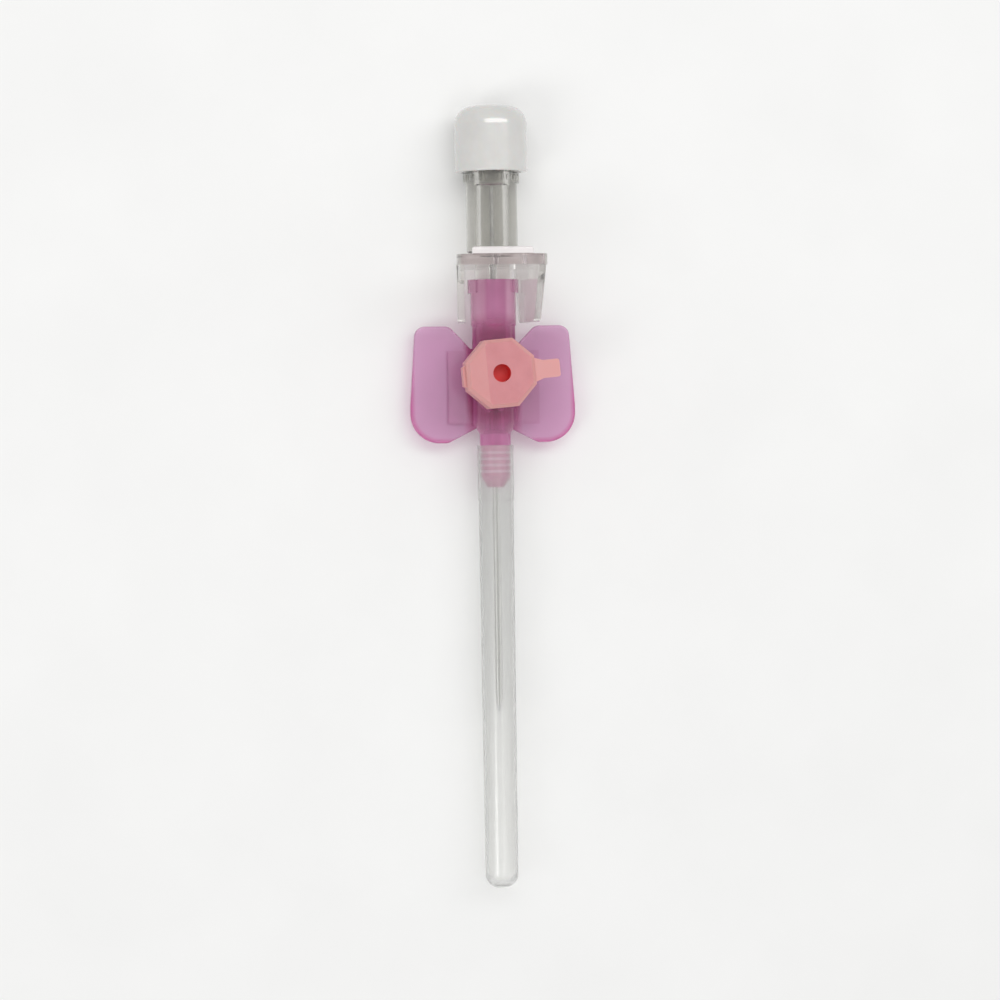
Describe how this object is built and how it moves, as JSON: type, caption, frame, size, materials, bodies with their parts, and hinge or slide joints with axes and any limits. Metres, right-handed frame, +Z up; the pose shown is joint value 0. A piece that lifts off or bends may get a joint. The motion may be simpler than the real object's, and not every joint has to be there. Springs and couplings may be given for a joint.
{
  "type": "iv cannula",
  "caption": "Winged peripheral iv cannula with injection port, introducer needle, safety clip, flash chamber, lock cap and protective sheath.",
  "frame": {"origin": "on the flat underside of the wings, on the axis of the injection port", "axes": "+Z up along the injection port, +Y along the cannula to the lock cap, -Y to the needle tip"},
  "size_m": [0.0252, 0.1188, 0.018],
  "materials": {
    "hub_pink": "translucent glossy moulding",
    "silicone": "soft satin",
    "catheter_clear": "thin clear tube with fine contrast stripes",
    "steel": "drawn, bright",
    "cap_salmon": "satin",
    "clear_plastic": "clear and glossy",
    "filter_white": "porous matt",
    "white_plastic": "satin",
    "sheath_clear": "clear, slightly milky"
  },
  "bodies": {
    "catheter": {"catheter_hub": "hub_pink", "valve_sleeve": "silicone", "catheter_tube": "catheter_clear", "tube_ferrule": "steel"},
    "cap_ring": {"port_cap_ring": "cap_salmon"},
    "cap_lid": {"port_cap": "cap_salmon"},
    "clip": {"safety_clip": "steel"},
    "needle_unit": {"needle_cannula": "steel", "needle_hub": "clear_plastic"},
    "vent": {"vent_insert": "clear_plastic", "filter_disc": "filter_white"},
    "screw_cap": {"lock_cap": "white_plastic"},
    "sheath": {"protective_sheath": "sheath_clear"}
  },
  "joints": [
    {"name": "cap_swivel", "type": "hinge", "parent": "catheter", "child": "cap_ring", "pos_m": [0, 0, 0.00855], "axis": [0, 0, 1], "continuous": true},
    {"name": "cap_lid_hinge", "type": "hinge", "parent": "cap_ring", "child": "cap_lid", "pos_m": [-0.00558, -0.00049, 0.00857], "axis": [0.0872, -0.9962, 0], "range_deg": [0, 140]},
    {"name": "clip_release", "type": "slide", "parent": "catheter", "child": "clip", "axis": [0, 1, 0], "range_m": [0, 0.012]},
    {"name": "needle_withdraw", "type": "slide", "parent": "clip", "child": "needle_unit", "axis": [0, 1, 0], "range_m": [0, 0.0552]},
    {"name": "lock_cap_lift", "type": "slide", "parent": "needle_unit", "child": "vent", "axis": [0, 1, 0], "range_m": [0, 0.005]},
    {"name": "lock_cap_turn", "type": "hinge", "parent": "vent", "child": "screw_cap", "pos_m": [0, 0.036, 0.0029], "axis": [0, 1, 0], "range_deg": [0, 360]},
    {"name": "sheath_pull", "type": "slide", "parent": "catheter", "child": "sheath", "axis": [0, -1, 0], "range_m": [0, 0.042]}
  ],
  "couplings": [
    {"joint": "lock_cap_turn", "follows": "lock_cap_lift", "rad_per_m": 1256.6}
  ]
}
